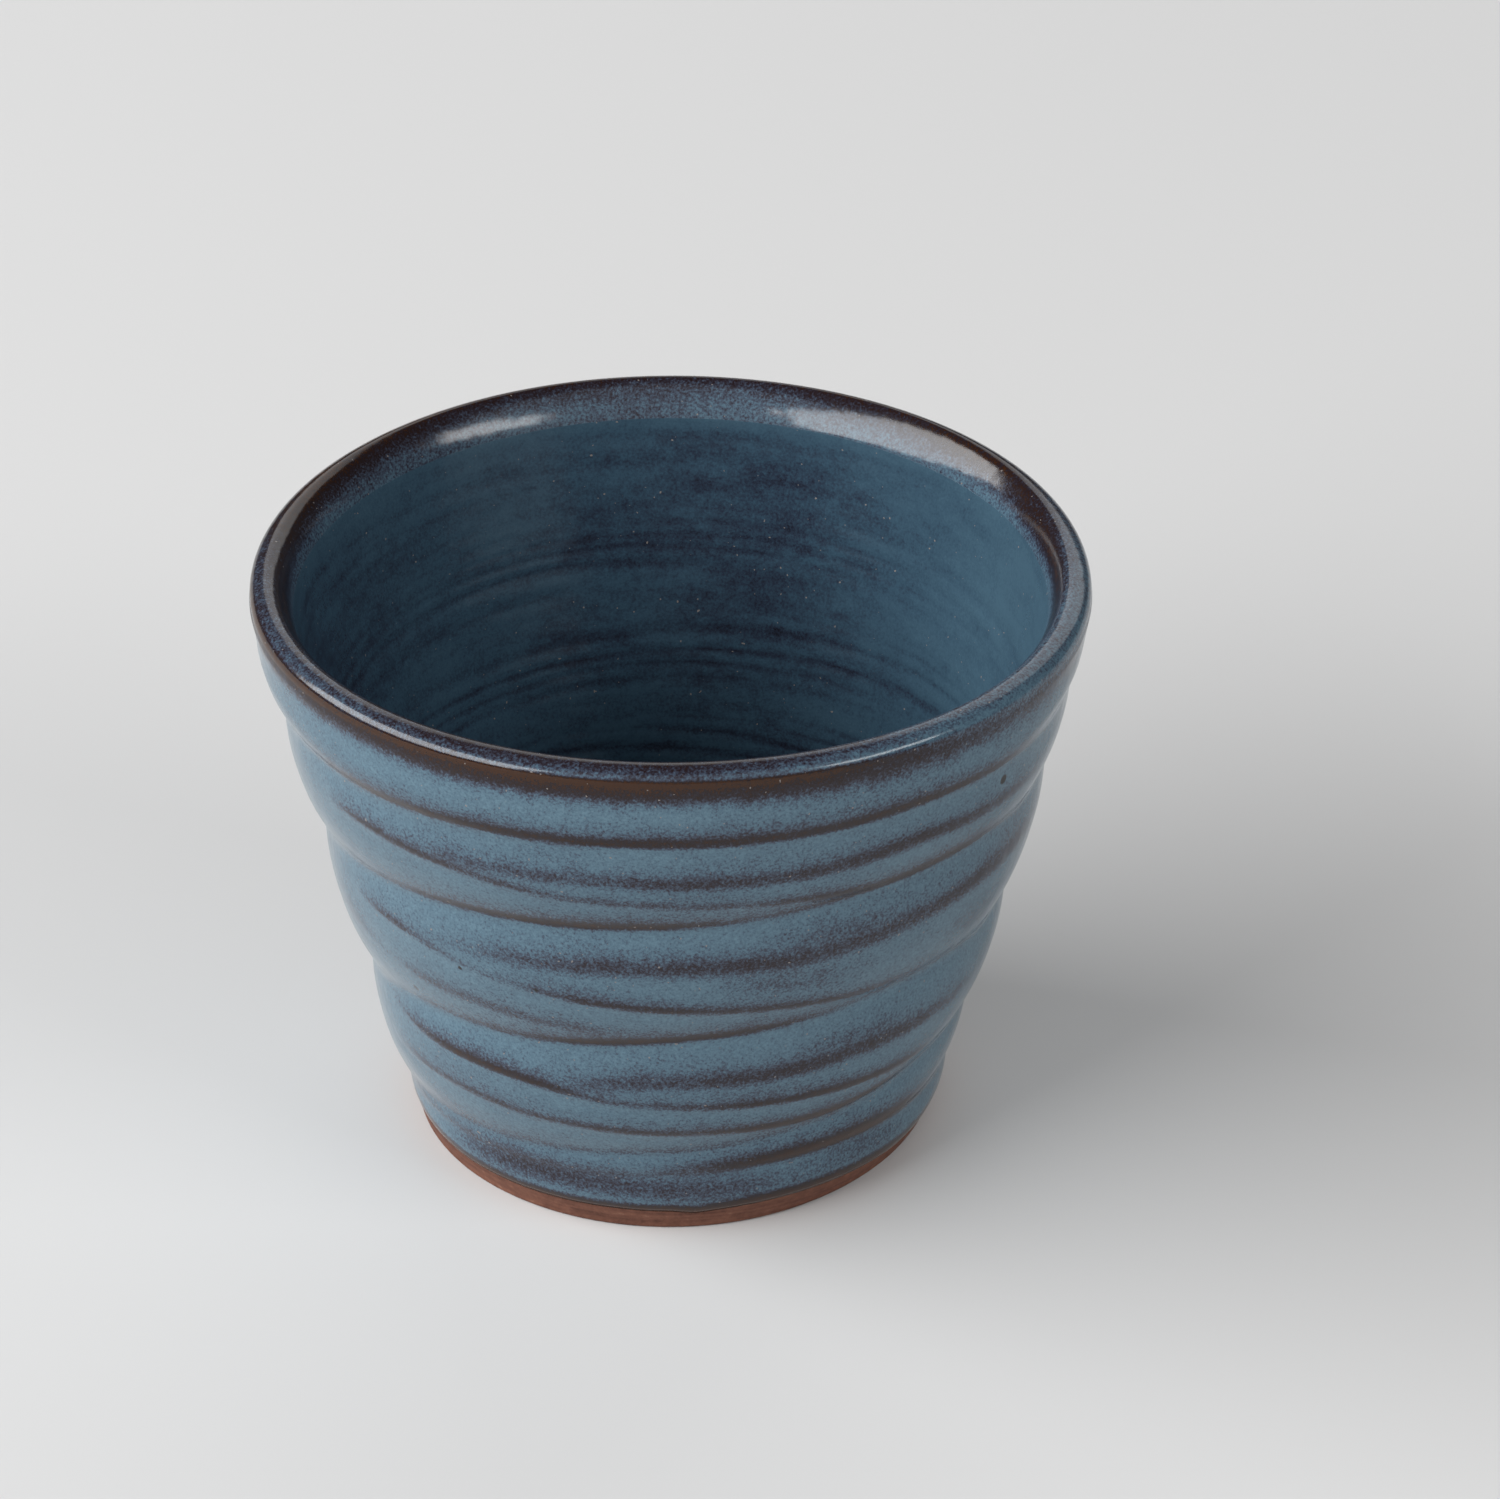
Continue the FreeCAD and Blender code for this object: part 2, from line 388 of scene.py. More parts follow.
# The front of the rim, which rises and is pulled inwards from a height, over a height
FRONT_LIFT = 1.1
FRONT_PULL = 1.15
FRONT_FROM = 64.0
FRONT_OVER = 7.0


# ---------------------------------------------------------------- meshes

COLUMNS = 496


def around():
    """Angles all round the mug, one for each column of a mesh."""
    return -180.0 + 360.0 * np.arange(COLUMNS) / COLUMNS


def placed(angle, radius, height):
    """Points in metres from angle, radius and height grids, with the pot's slight waver.

    The waver of the height grows with the height cubed, and that of the radius with the height.
    """
    swing = np.radians(angle)[None, :]
    risen = np.clip(height / HEIGHT, 0, 1)
    lifted = height + ripple(angle, RIM_WAVER, RIM_WAVES)[None, :] * risen ** 3
    wide = radius + ripple(angle, ROUND_WAVER, ROUND_WAVES)[None, :] * risen
    near_rim = np.clip((height - FRONT_FROM) / FRONT_OVER, 0.0, 1.0)
    front = np.clip(np.cos(swing), 0.0, 1.0) ** 2 * near_rim
    lifted = lifted + FRONT_LIFT * front
    wide = wide - FRONT_PULL * front
    aside = np.interp(height, *np.array(SIDESTEP).T)
    return np.stack([wide * np.sin(swing) + aside, -wide * np.cos(swing), lifted], axis=-1) * MM


def closed_mesh(name, rows, thin, start_pole=None, end_pole=None):
    """A closed skin from rings of points, each ring joined to the next and round to the first.

    Rows is rings by columns by three. With no poles the last ring joins the first, as a tube
    bent round does; a pole closes an end with a fan. The rings run so that faces look outwards.
    """
    rings, columns, _ = rows.shape
    count = rings * columns
    index = np.arange(count).reshape(rings, columns)
    right = np.roll(index, -1, axis=1)
    if start_pole is None:
        index = np.vstack([index, index[:1]])
        right = np.vstack([right, right[:1]])
    quads = np.stack([index[:-1], right[:-1], right[1:], index[1:]], axis=-1).reshape(-1, 4)
    points = rows.reshape(-1, 3)
    values = thin.reshape(-1)
    fans = []
    if start_pole is not None:
        points = np.vstack([points, start_pole, end_pole])
        values = np.concatenate([values, [thin[0].mean(), thin[-1].mean()]])
        first, last = index[0], index[-1]
        fans.append(np.stack([np.roll(first, -1), first, np.full(columns, count)], axis=-1))
        fans.append(np.stack([last, np.roll(last, -1), np.full(columns, count + 1)], axis=-1))
    loops = np.concatenate([quads.reshape(-1)] + [fan.reshape(-1) for fan in fans])
    sizes = np.concatenate([np.full(len(quads), 4)] + [np.full(len(fan), 3) for fan in fans])
    return skin_object(name, points, values, loops, sizes)


def skin_object(name, points, values, loops, sizes):
    """An object from points, their thin values, and faces as corners in a row with each size."""
    mesh = bpy.data.meshes.new(name)
    mesh.vertices.add(len(points))
    mesh.vertices.foreach_set("co", points.astype(np.float32).ravel())
    mesh.loops.add(len(loops))
    mesh.loops.foreach_set("vertex_index", loops.astype(np.int32))
    mesh.polygons.add(len(sizes))
    starts = np.concatenate([[0], np.cumsum(sizes)[:-1]]).astype(np.int32)
    mesh.polygons.foreach_set("loop_start", starts)
    mesh.polygons.foreach_set("use_smooth", np.ones(len(sizes), bool))
    attribute = mesh.attributes.new("thin", "FLOAT", "POINT")
    attribute.data.foreach_set("value", values.astype(np.float32))
    mesh.update(calc_edges=True)
    mesh.validate()
    piece = bpy.data.objects.new(name, mesh)
    bpy.context.scene.collection.objects.link(piece)
    return piece


# How thin the glaze is over the lip: along each row the section is turned from straight
# outwards, over the top, to straight inwards; the rows are angles round the pot. From the front
# round to the right, the column at 42 degrees, on the shoulder, is thinner and so bluer and paler
# than the columns beside it: partly the glaze's own colour there, partly a painted highlight
# where the lamps' reflections run along the shoulder.
LIP_TURNS = (0, 15, 30, 42, 60, 90, 120, 150, 170, 180)
LIP_ANGLES = (-180, -150, -110, -80, -60, -30, 0, 20, 40, 70, 100, 125, 150, 180)
LIP_THIN_AND_HIGHLIGHT = (
    (0.60, 0.75, 0.70, 0.60, 0.70, 0.80, 0.55, 0.42, 0.42, 0.42),
    (0.60, 0.75, 0.75, 0.70, 0.90, 0.95, 0.65, 0.40, 0.42, 0.42),
    (0.55, 0.75, 0.90, 0.75, 0.68, 0.85, 0.90, 0.55, 0.36, 0.38),
    (0.55, 0.80, 1.00, 0.95, 0.58, 0.55, 0.66, 1.00, 0.55, 0.42),
    (0.60, 1.00, 1.10, 0.80, 0.50, 0.60, 0.70, 1.00, 0.55, 0.42),
    (0.70, 1.05, 1.10, 0.45, 0.52, 0.68, 0.70, 0.90, 0.55, 0.44),
    (0.85, 1.10, 1.10, 0.45, 0.52, 0.68, 0.72, 0.90, 0.55, 0.44),
    (0.70, 1.00, 0.95, 0.30, 0.40, 0.58, 0.62, 0.80, 0.45, 0.40),
    (0.55, 0.60, 0.50, 0.22, 0.34, 0.44, 0.47, 0.65, 0.38, 0.38),
    (0.40, 0.40, 0.35, 0.24, 0.36, 0.44, 0.48, 0.95, 0.42, 0.36),
    (0.40, 0.45, 0.45, 0.40, 0.44, 0.46, 0.58, 0.92, 0.42, 0.36),
    (0.50, 0.60, 0.60, 0.50, 0.55, 0.80, 1.00, 0.50, 0.30, 0.36),
    (0.60, 0.70, 0.70, 0.60, 0.65, 0.85, 0.70, 0.38, 0.36, 0.38),
    (0.60, 0.75, 0.70, 0.60, 0.70, 0.80, 0.55, 0.42, 0.42, 0.42),
)


def lip_thin_and_highlight(angle, turned):
    """How thin the glaze is over the lip, with its partly painted shoulder highlight, from the
    table.
    """
    table = np.array(LIP_THIN_AND_HIGHLIGHT)
    by_turn = np.stack([np.interp(np.degrees(turned), LIP_TURNS, row) for row in table])
    return np.stack([np.interp(angle, LIP_ANGLES, column) for column in by_turn.T])


# The thin glaze just below the lip: how thin, and how far down it fades, by angle
RIM_BAND = (
    (-180, 0.6), (-100, 0.5), (-60, 0.6), (-30, 0.8), (0, 0.85), (20, 0.7), (45, 0.55), (70, 0.4),
    (120, 0.4), (180, 0.6),
)
RIM_FADE = (
    (-180, 1.5), (-60, 1.2), (-30, 1.4), (0, 1.4), (25, 1.7), (50, 2.3), (75, 2.1), (110, 1.5),
    (180, 1.5),
)

# The runs' waves: how many go round, and where they start
RIM_RUNS = ((37, 20), (61, 130), (83, 250), (109, 40), (131, 310), (163, 170))
RIM_RUN_DEPTH = 0.045


def rim_fade(angle):
    """How far the thin band below the lip reaches down: ragged, where the glaze ran in streaks."""
    runs = sum(np.sin(np.radians(waves * angle + start)) for waves, start in RIM_RUNS)
    return np.interp(angle, *np.array(RIM_FADE).T) * (1.0 + RIM_RUN_DEPTH * runs)


WALL_ROWS = 128
LIP_ROWS = 24
BACK_ROWS = 34
SEAM_TURN = 0.005
DEEPENING = 20.0

# How thin the glaze is away from every mark, and on faces against the clay, where it isn't seen
BASE_THIN = 0.2
HIDDEN_THIN = 0.5

# The coat's tapering end: its height, and its depth as a share of the band step
END_TAPER = 0.7
END_TUCK = 0.7

# How far the thin glaze reaches up from the glaze's end, by angle
END_FADE = ((-180, 1.2), (-10, 1.2), (20, 1.8), (50, 1.8), (80, 1.2), (180, 1.2))


def outer_skin(angle, depth, share):
    """Radius and height of the outer wall at a depth under the glaze, by share of its height.

    Past the step at the glaze's end, the depth is reached over the wall's first twentieth.
    """
    end = np.interp(angle, *np.array(GLAZE_END).T)
    height = end[None, :] + share[:, None] * (float(WALL_TOP_HEIGHT) - end[None, :])
    reached = np.clip(share * DEEPENING, 0.0, 1.0)[:, None]
    deep = min(depth, BAND_STEP) + max(depth - BAND_STEP, 0.0) * reached
    radius = wall_radius(angle, height)
    return radius - deep * math.cos(LEAN), height + depth * math.sin(LEAN) * share[:, None]


def wall_thin(angle, height):
    """How thin the glaze is on the outer wall: under the rim, on the marks and at its end."""
    marks, _ = marks_on(angle, height)
    rim = np.exp(-(((float(WALL_TOP_HEIGHT) - height) / rim_fade(angle)[None, :]) ** 2))
    rim *= np.interp(angle, *np.array(RIM_BAND).T)[None, :]
    reach = np.interp(angle, *np.array(END_FADE).T)[None, :]
    end = np.exp(-(((height - height[:1]) / reach) ** 4))
    thinnest = np.maximum(np.maximum(marks, rim), end)
    return np.clip(BASE_THIN + (1.0 - BASE_THIN) * thinnest, 0.0, 1.0)


def outside_coat():
    """The dipped coat: up the ringed wall, over the lip, and back down against the clay."""
    angle = around()
    radius, height = outer_skin(angle, 0.0, np.linspace(0.0, 1.0, WALL_ROWS))
    taper = np.exp(-(height - height[:1]) / END_TAPER)
    radius = radius - END_TUCK * BAND_STEP * taper
    turned = np.append(np.linspace(0.0, math.pi, LIP_ROWS)[1:-1], [math.pi - SEAM_TURN, math.pi])
    bevel = np.interp(angle, *np.array(BEVEL).T)[None, :]
    lip_radius, lip_height = lip_section(turned[:, None], 0.0, bevel)
    back_lip_radius, back_lip_height = lip_section(turned[::-2, None], GLAZE_THICKNESS, bevel)
    back_radius, back_height = outer_skin(angle, GLAZE_THICKNESS, np.linspace(1.0, 0.0, BACK_ROWS))
    radii = np.vstack([radius, lip_radius, back_lip_radius, back_radius])
    heights = np.vstack([height, lip_height, back_lip_height, back_height])
    hidden = np.full((len(back_lip_radius) + len(back_radius), COLUMNS), HIDDEN_THIN)
    values = np.vstack([wall_thin(angle, height), lip_thin_and_highlight(angle, turned), hidden])
    return closed_mesh("dipped_glaze", placed(angle, radii, heights), values)


INNER_LEAN = math.atan2(
    float(INNER_TOP_RADIUS) - INNER_FLOOR_RADIUS,
    float(INNER_TOP_HEIGHT) - FLOOR_TOP,
)
FILLET_STEPS = 60
POLE_RING = 0.8
SEAM_ROW = 0.03


def inner_section(depth, rows):
    """Radius and height down the inner wall, round the fillet and in over the floor.

    A straight cone, then a round arc of the fillet's radius, then level. Depth moves the line
    into the clay, square to itself. Rows are spread evenly by length, but for the second, which
    keeps close to the seam. Length down the line comes third.
    """
    sine, cosine = math.sin(INNER_LEAN), math.cos(INNER_LEAN)
    centre_height = FLOOR_TOP + FLOOR_FILLET
    along = (float(INNER_TOP_HEIGHT) + FLOOR_FILLET * sine - centre_height) / cosine
    centre_radius = float(INNER_TOP_RADIUS) - FLOOR_FILLET * cosine - along * sine
    reach = FLOOR_FILLET + depth
    start = np.array([INNER_TOP_RADIUS + depth * cosine, INNER_TOP_HEIGHT - depth * sine])
    bend = np.linspace(INNER_LEAN, math.pi / 2.0, FILLET_STEPS)
    arc = np.stack([centre_radius + reach * np.cos(bend), centre_height - reach * np.sin(bend)], -1)
    end = np.array([POLE_RING, FLOOR_TOP - depth])
    line = np.vstack([start, arc, end])
    length = np.concatenate([[0.0], np.cumsum(np.hypot(*np.diff(line, axis=0).T))])
    wanted = np.linspace(0.0, length[-1], rows)
    wanted[1] = SEAM_ROW
    return np.interp(wanted, length, line[:, 0]), np.interp(wanted, length, line[:, 1]), wanted


INNER_ROWS = 150
INNER_BACK_ROWS = 36

# The throwing lines inside: their pitch; how far they wander, as a share of the pitch, with the
# waves round and the turning with each millimetre down; how they crowd; and how they swell
RING_PITCH = 2.3
RING_WANDER = ((0.35, 1, 0.23), (0.25, 2, -0.31))
RING_CROWDING = 1.2
CROWDING_RATE = 0.8
RING_SWELL = 0.45
SWELL_RATE = 0.47
SWELL_START = 1.0
SWELL_SLANT = 1.5
SWELL_TURN = 0.6


def inner_rings(angle, along):
    """Fine throwing lines inside, from -1 to 1: a close spiral, stronger and weaker by turns.

    It is a sine of the way down over the pitch plus the turn. Slow sines make it wander and
    crowd, and another makes it swell.
    """
    turn = 2.0 * math.pi * angle[None, :] / 360.0
    down = along[:, None]
    wander = sum(share * np.sin(waves * turn + rate * down) for share, waves, rate in RING_WANDER)
    phase = 2.0 * math.pi * (down / RING_PITCH + wander) + turn
    crowding = RING_CROWDING * np.sin(down * CROWDING_RATE)
    swell = np.sin(down * SWELL_RATE + SWELL_START + SWELL_SLANT * np.sin(turn + SWELL_TURN))
    return np.sin(phase + crowding) * (1.0 - RING_SWELL + RING_SWELL * swell)


# The poured coat's rings fade in below the lip and out towards the middle of the floor
RING_DEPTH = 0.07
RING_LIFT = 0.04
RING_FADE_IN = 12.0
RING_FADE_OUT = 10.0

# How thin the poured coat is: all over, on its rings, by side as painted light and shade, and near
# the lip, where it joins the other
INNER_THIN = 0.27
RING_THIN = 0.24
RING_THIN_HIGH = 0.35
DEEP_FROM = 14.0
DEEP_OVER = 30.0
PAINTED_SIDE_LOST_DEEP = 0.7
INNER_JOIN = 2.2
INNER_DARKER = 0.27
# Painted light and shade by angle: thinner, so darker, on the left and at the back, which lie in
# shade, and thicker, so paler and bluer, on the right, which the lamps light; it fades deeper down
INNER_PAINTED_LIGHT_AND_SHADE = (
    (-180, 0.12), (-140, 0.02), (-100, 0.10), (-70, 0.22), (-40, 0.12), (0, 0.08), (50, 0.0),
    (85, -0.2), (110, -0.24), (135, -0.04), (160, 0.14), (180, 0.12),
)


def inner_thin(angle, along, rings):
    """How thin the poured coat is: on its rings, as the lip's where they join, and by side as
    painted light and shade.
    """
    deep = np.clip((along - DEEP_FROM) / DEEP_OVER, 0.0, 1.0)[:, None]
    # Painted light and shade by side
    side = np.interp(angle, *np.array(INNER_PAINTED_LIGHT_AND_SHADE).T)[None, :] * (1.0 - PAINTED_SIDE_LOST_DEEP * deep)
    ring_share = RING_THIN_HIGH + (1.0 - RING_THIN_HIGH) * deep
    thin = INNER_THIN + side + RING_THIN * np.clip(rings, 0.0, 1.0) * ring_share
    # Near the lip the coat takes the lip's thinness less a step, so that with its painted shade it
    # matches the outer coat where they join
    top = np.exp(-along / INNER_JOIN)[:, None]
    joined = lip_thin_and_highlight(angle, np.array([math.pi])) - INNER_DARKER
    return thin * (1.0 - top) + joined * top


def inside_coat():
    """The poured coat: down the inner wall and over the floor, then back against the clay."""
    angle = around()
    level = np.ones(len(angle))
    radius, height, along = inner_section(0.0, INNER_ROWS)
    rings = inner_rings(angle, along)
    fade_in = np.clip(along / RING_FADE_IN, 0.0, 1.0)[:, None]
    fade_out = np.clip((along[-1] - along) / RING_FADE_OUT, 0.0, 1.0)[:, None]
    fade = fade_in * fade_out
    back_radius, back_height, _ = inner_section(GLAZE_THICKNESS, INNER_BACK_ROWS)
    back_radii = np.outer(back_radius[::-1], level)
    radii = np.vstack([back_radii, radius[:, None] + RING_DEPTH * rings * fade])
    heights = np.vstack([
        np.outer(back_height[::-1], level), height[:, None] + RING_LIFT * rings * fade,
    ])
    hidden = np.full(back_radii.shape, HIDDEN_THIN)
    values = np.vstack([hidden, inner_thin(angle, along, rings)])
    poles = [(0.0, 0.0, (FLOOR_TOP - GLAZE_THICKNESS) * MM), (0.0, 0.0, FLOOR_TOP * MM)]
    return closed_mesh("poured_glaze", placed(angle, radii, heights), values, *poles)


# The foot's outer edge: its round, and how much more the sponge took, where and how far round
EDGE_ROUND = 0.45
SPONGED = 0.9
SPONGED_AT = 48.0
SPONGED_OVER = 32.0

# The underside: the ring that the mug stands on, its recess and the grooves turned there
RING_WIDTH = 4.5
RECESS = 1.2
RECESS_SLOPE = 2.0
GROOVE_DEPTH = 0.10
GROOVE_PITCH = 2.4
GROOVES_FROM = 6.0
WALL_FOOT = 0.5


def foot_section(angle):
    """Rings of the bare clay from the middle of the underside out and up to the foot's edge.

    The recess is level but for grooves cut as a cosine, half a cosine wave leads down to the
    ring that the mug stands on, and the outer edge is a quarter round that a sponge has worn
    further on one side. The quarter round's radius at each angle comes third.
    """
    ease = EDGE_ROUND + SPONGED * np.exp(-(((angle - SPONGED_AT) / SPONGED_OVER) ** 2))
    base_wall = wall_radius(angle, np.full((1, len(angle)), WALL_FOOT))[0] - BAND_STEP
    outer = base_wall - ease
    ring_inner = base_wall.mean() - EDGE_ROUND - RING_WIDTH
    flat = np.linspace(POLE_RING, ring_inner - RECESS_SLOPE, 34)
    grooves = GROOVE_DEPTH * np.cos(2.0 * math.pi * flat / GROOVE_PITCH)
    grooves *= np.clip(flat / GROOVES_FROM, 0.0, 1.0)
    radii = [np.full(len(angle), value) for value in flat]
    heights = [np.full(len(angle), RECESS + value) for value in grooves]
    for share in np.linspace(0.1, 1.0, 8):
        radii.append(np.full(len(angle), ring_inner - RECESS_SLOPE + RECESS_SLOPE * share))
        heights.append(np.full(len(angle), RECESS * 0.5 * (1.0 + math.cos(math.pi * share))))
    for share in np.linspace(0.15, 1.0, 6):
        radii.append(ring_inner + (outer - ring_inner) * share)
        heights.append(np.zeros(len(angle)))
    for bend in np.radians(np.linspace(9.0, 90.0, 10)):
        radii.append(outer + ease * math.sin(bend))
        heights.append(ease * (1.0 - math.cos(bend)))
    return np.array(radii), np.array(heights), ease


BAND_ROWS = 8
CLAY_LIP_ROWS = 14


def clay_body():
    """The fired clay: underside, bare foot, the ringed wall under the glaze, lip and hollow."""
    angle = around()
    foot_radii, foot_heights, ease = foot_section(angle)
    end = np.interp(angle, *np.array(GLAZE_END).T)
    band_share = np.linspace(0.0, 1.0, BAND_ROWS)[1:, None]
    band_heights = ease[None, :] + (end - ease)[None, :] * band_share
    band_radii = wall_radius(angle, band_heights) - BAND_STEP
    wall_share = np.linspace(0.0, 1.0, BACK_ROWS)[1:]
    wall_radii, wall_heights = outer_skin(angle, GLAZE_THICKNESS, wall_share)
    turned = np.linspace(0.0, math.pi, CLAY_LIP_ROWS)[1:]
    bevel = np.interp(angle, *np.array(BEVEL).T)[None, :]
    lip_radius, lip_height = lip_section(turned[:, None], GLAZE_THICKNESS, bevel)
    hollow_radius, hollow_height, _ = inner_section(GLAZE_THICKNESS, INNER_BACK_ROWS)
    level = np.ones(len(angle))
    radii = np.vstack([
        foot_radii, band_radii, wall_radii, lip_radius, np.outer(hollow_radius[1:], level),
    ])
    heights = np.vstack([
        foot_heights, band_heights, wall_heights, lip_height, np.outer(hollow_height[1:], level),
    ])
    poles = [(0.0, 0.0, RECESS * MM), (0.0, 0.0, (FLOOR_TOP - GLAZE_THICKNESS) * MM)]
    return closed_mesh("fired_clay", placed(angle, radii, heights), np.zeros(radii.shape), *poles)


# ---------------------------------------------------------------- materials


class Nodes:
    """A short way to add and join a material's nodes."""

    def __init__(self, name):
        self.material = bpy.data.materials.new(name)
        self.material.use_nodes = True
        self.tree = self.material.node_tree
        self.shader = self.tree.nodes["Principled BSDF"]

    def add(self, kind, **settings):
        """A new node of a kind, with its settings."""
        node = self.tree.nodes.new(kind)
        for key, value in settings.items():
            setattr(node, key, value)
        return node

    def put(self, socket, value):
        """A socket's value, whether it is a constant or another node's output."""
        if isinstance(value, bpy.types.NodeSocket):
            self.tree.links.new(value, socket)
        else:
            socket.default_value = value

    def math(self, operation, first, second=0.0, third=0.0, clamp=False):
        """The result of a sum on up to three values."""
        node = self.add("ShaderNodeMath", operation=operation, use_clamp=clamp)
        for socket, value in zip(node.inputs, (first, second, third)):
            self.put(socket, value)
        return node.outputs[0]

    def place(self, stretch=(1.0, 1.0, 1.0)):
        """Places on the piece; a pattern is squeezed as many times as each axis is stretched."""
        coordinates = self.add("ShaderNodeTexCoord").outputs["Object"]
        mapping = self.add("ShaderNodeMapping")
        self.put(mapping.inputs["Vector"], coordinates)
        mapping.inputs["Scale"].default_value = stretch
        return mapping.outputs[0]

    def noise(self, where, grain_mm, detail=2.0, roughness=0.5):
        """A cloudy pattern about 0.5, with grains of a size."""
        node = self.add("ShaderNodeTexNoise")
        self.put(node.inputs["Vector"], where)
        node.inputs["Scale"].default_value = 1.0 / (grain_mm * MM)
        node.inputs["Detail"].default_value = detail
        node.inputs["Roughness"].default_value = roughness
        return node.outputs["Fac"]

    def ramp(self, value, stops):
        """The colour that a value picks, between stops of a value and a colour each."""
        node = self.add("ShaderNodeValToRGB")
        band = node.color_ramp
        while len(band.elements) < len(stops):
            band.elements.new(0.5)
        for element, (position, colour) in zip(band.elements, stops):
            element.position = position
            element.color = (*colour, 1.0)
        self.put(node.inputs[0], value)
        return node.outputs[0]

    def mix(self, share, first, second):
        """The first colour, giving way to the second, a constant one, as the share grows to one."""
        node = self.add("ShaderNodeMix", data_type="RGBA")
        self.put(node.inputs["Factor"], share)
        self.put(node.inputs["A"], first)
        node.inputs["B"].default_value = (*second, 1.0)
        return node.outputs["Result"]

    def bump(self, height, strength, distance_mm, below=None):
        """Surface relief from a pattern, laid over the relief below it if there is one."""
        node = self.add("ShaderNodeBump")
        node.inputs["Strength"].default_value = strength
        node.inputs["Distance"].default_value = distance_mm * MM
        self.put(node.inputs["Height"], height)
        if below is not None:
            self.put(node.inputs["Normal"], below)
        return node.outputs[0]


POOLED_BLUE = (0.101, 0.177, 0.228)
FULL_BLUE = (0.070, 0.125, 0.171)
SLATE = (0.042, 0.054, 0.082)
PLUM = (0.019, 0.015, 0.022)
UMBER = (0.013, 0.006, 0.006)
AMBER_BROWN = (0.036, 0.012, 0.003)
# Painted shade: the poured coat inside takes the outer glaze's colours darkened by this, for the dim
# inside of the mug
POURED_PAINTED_SHADE = (0.49, 0.55, 0.60)
PINHOLE = (0.20, 0.18, 0.17)
PIT_DARK = (0.010, 0.008, 0.009)

# The glaze's colours, from thick to thin
GLAZE_COLOURS = (
    (0.0, POOLED_BLUE), (0.28, FULL_BLUE), (0.48, SLATE), (0.64, PLUM), (0.84, UMBER),
    (1.0, AMBER_BROWN),
)

# The patterns that shake the colour: size of a grain, how much it shakes, and how many times
# flatter than wide it is
GRAIN_SIZE = 0.34
GRAIN_SHAKE = 1.15
CLUMP_SIZE = 1.5
CLUMP_SHAKE = 0.24
DRIFT_SIZE = 14.0
DRIFT_SHAKE = 0.24
DRIFT_FLATNESS = 2.2
STREAK_SIZE = 9.0
STREAK_FLATNESS = 4.0
PINHOLE_SIZE = 0.42
PINHOLES_ABOVE = 0.85

GLOSS_ROUGHNESS = 0.08
CLUMP_ROUGHNESS = 0.14
GLAZE_IOR = 1.43

# Small dark pits in the outer glaze: angle, height, radius
PITS = ((54.0, 61.3, 0.75), (-50.0, 30.6, 0.5), (-35.2, 39.6, 0.35), (-21.4, 39.8, 0.3))
PIT_EDGE = 3.0


def pit_places():
    """Where each pit's middle lies on the outer wall, in metres."""
    angle, height, _ = np.array(PITS).T
    radius = np.array([wall_radius(angle, np.full((1, len(angle)), level))[0] for level in height])
    return placed(angle, np.diag(radius)[None, :], height[None, :])[0]


def pitted(nodes, colour):
    """The colour, dark where a small pit has burst through the glaze.

    The dark share is one minus the distance over the radius, times the edge's steepness.
    """
    for (_, _, size), place in zip(PITS, pit_places()):
        away = nodes.add("ShaderNodeVectorMath", operation="DISTANCE")
        nodes.put(away.inputs[0], nodes.place())
        away.inputs[1].default_value = [float(part) for part in place]
        slope = -PIT_EDGE / (size * MM)
        inside = nodes.math("MULTIPLY_ADD", away.outputs["Value"], slope, PIT_EDGE, clamp=True)
        colour = nodes.mix(inside, colour, PIT_DARK)
    return colour


def shaken(nodes, value, pattern, most, clamp=False):
    """The value moved by how far a pattern is from its middle, times the most."""
    return nodes.math("MULTIPLY_ADD", nodes.math("SUBTRACT", pattern, 0.5), most, value, clamp=clamp)


def pinholed(nodes, where, colour):
    """The colour, pale in a few pinholes, where a fine pattern peaks."""
    holes = nodes.math(
        "GREATER_THAN", nodes.noise(where, PINHOLE_SIZE, detail=0.0), PINHOLES_ABOVE,
    )
    return nodes.mix(holes, colour, PINHOLE)


